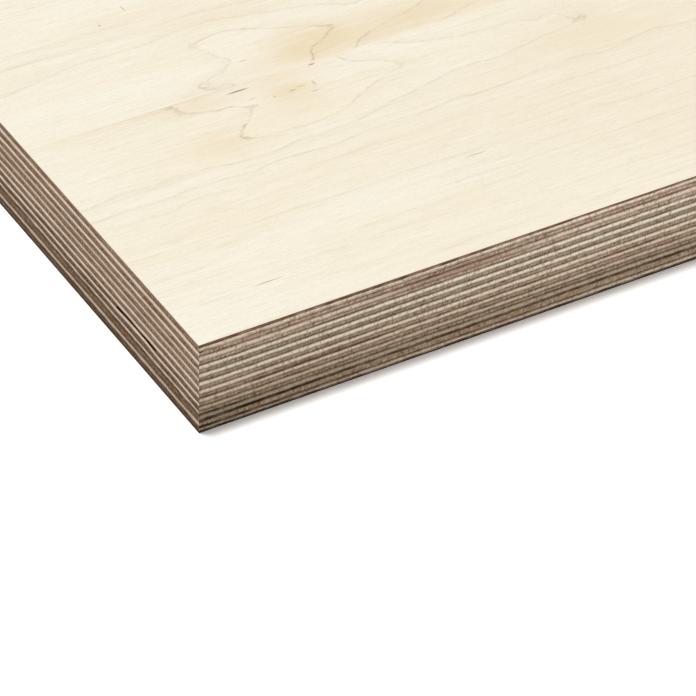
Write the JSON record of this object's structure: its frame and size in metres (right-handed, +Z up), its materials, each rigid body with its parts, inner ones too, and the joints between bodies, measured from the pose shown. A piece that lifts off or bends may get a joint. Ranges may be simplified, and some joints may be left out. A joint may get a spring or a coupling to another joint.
{
  "type": "plywood sheet",
  "caption": "Thick multi-ply sheet with a pale spliced maple face over crossed birch plies, lying flat, sawn square on all edges with the layers open to view.",
  "frame": {"origin": "middle of the underside, on the floor that the sheet lies on", "axes": "+X along the face grain and the long edge, +Y across the sheet, +Z up out of the face"},
  "size_m": [2.5, 1.25, 0.03],
  "materials": {
    "maple_veneer": "fine sanded, unfinished, satin",
    "birch_long_grain": "sawn edge, unfinished, matt",
    "birch_cross_grain": "sawn edge, unfinished, matt"
  },
  "bodies": {
    "root": {"back_leaf_1": "maple_veneer", "back_leaf_2": "maple_veneer", "back_leaf_3": "maple_veneer", "back_leaf_4": "maple_veneer", "back_leaf_5": "maple_veneer", "back_leaf_6": "maple_veneer", "back_leaf_7": "maple_veneer", "face_leaf_1": "maple_veneer", "face_leaf_2": "maple_veneer", "face_leaf_3": "maple_veneer", "face_leaf_4": "maple_veneer", "face_leaf_5": "maple_veneer", "face_leaf_6": "maple_veneer", "face_leaf_7": "maple_veneer", "ply_01_long": "birch_long_grain", "ply_02_cross": "birch_cross_grain", "ply_03_long": "birch_long_grain", "ply_04_cross": "birch_cross_grain", "ply_05_long": "birch_long_grain", "ply_06_cross": "birch_cross_grain", "ply_07_long": "birch_long_grain", "ply_08_cross": "birch_cross_grain", "ply_09_long": "birch_long_grain", "ply_10_cross": "birch_cross_grain", "ply_11_long": "birch_long_grain", "ply_12_cross": "birch_cross_grain", "ply_13_long": "birch_long_grain", "ply_14_cross": "birch_cross_grain", "ply_15_long": "birch_long_grain", "ply_16_cross": "birch_cross_grain", "ply_17_long": "birch_long_grain", "ply_18_cross": "birch_cross_grain", "ply_19_long": "birch_long_grain"}
  },
  "joints": []
}
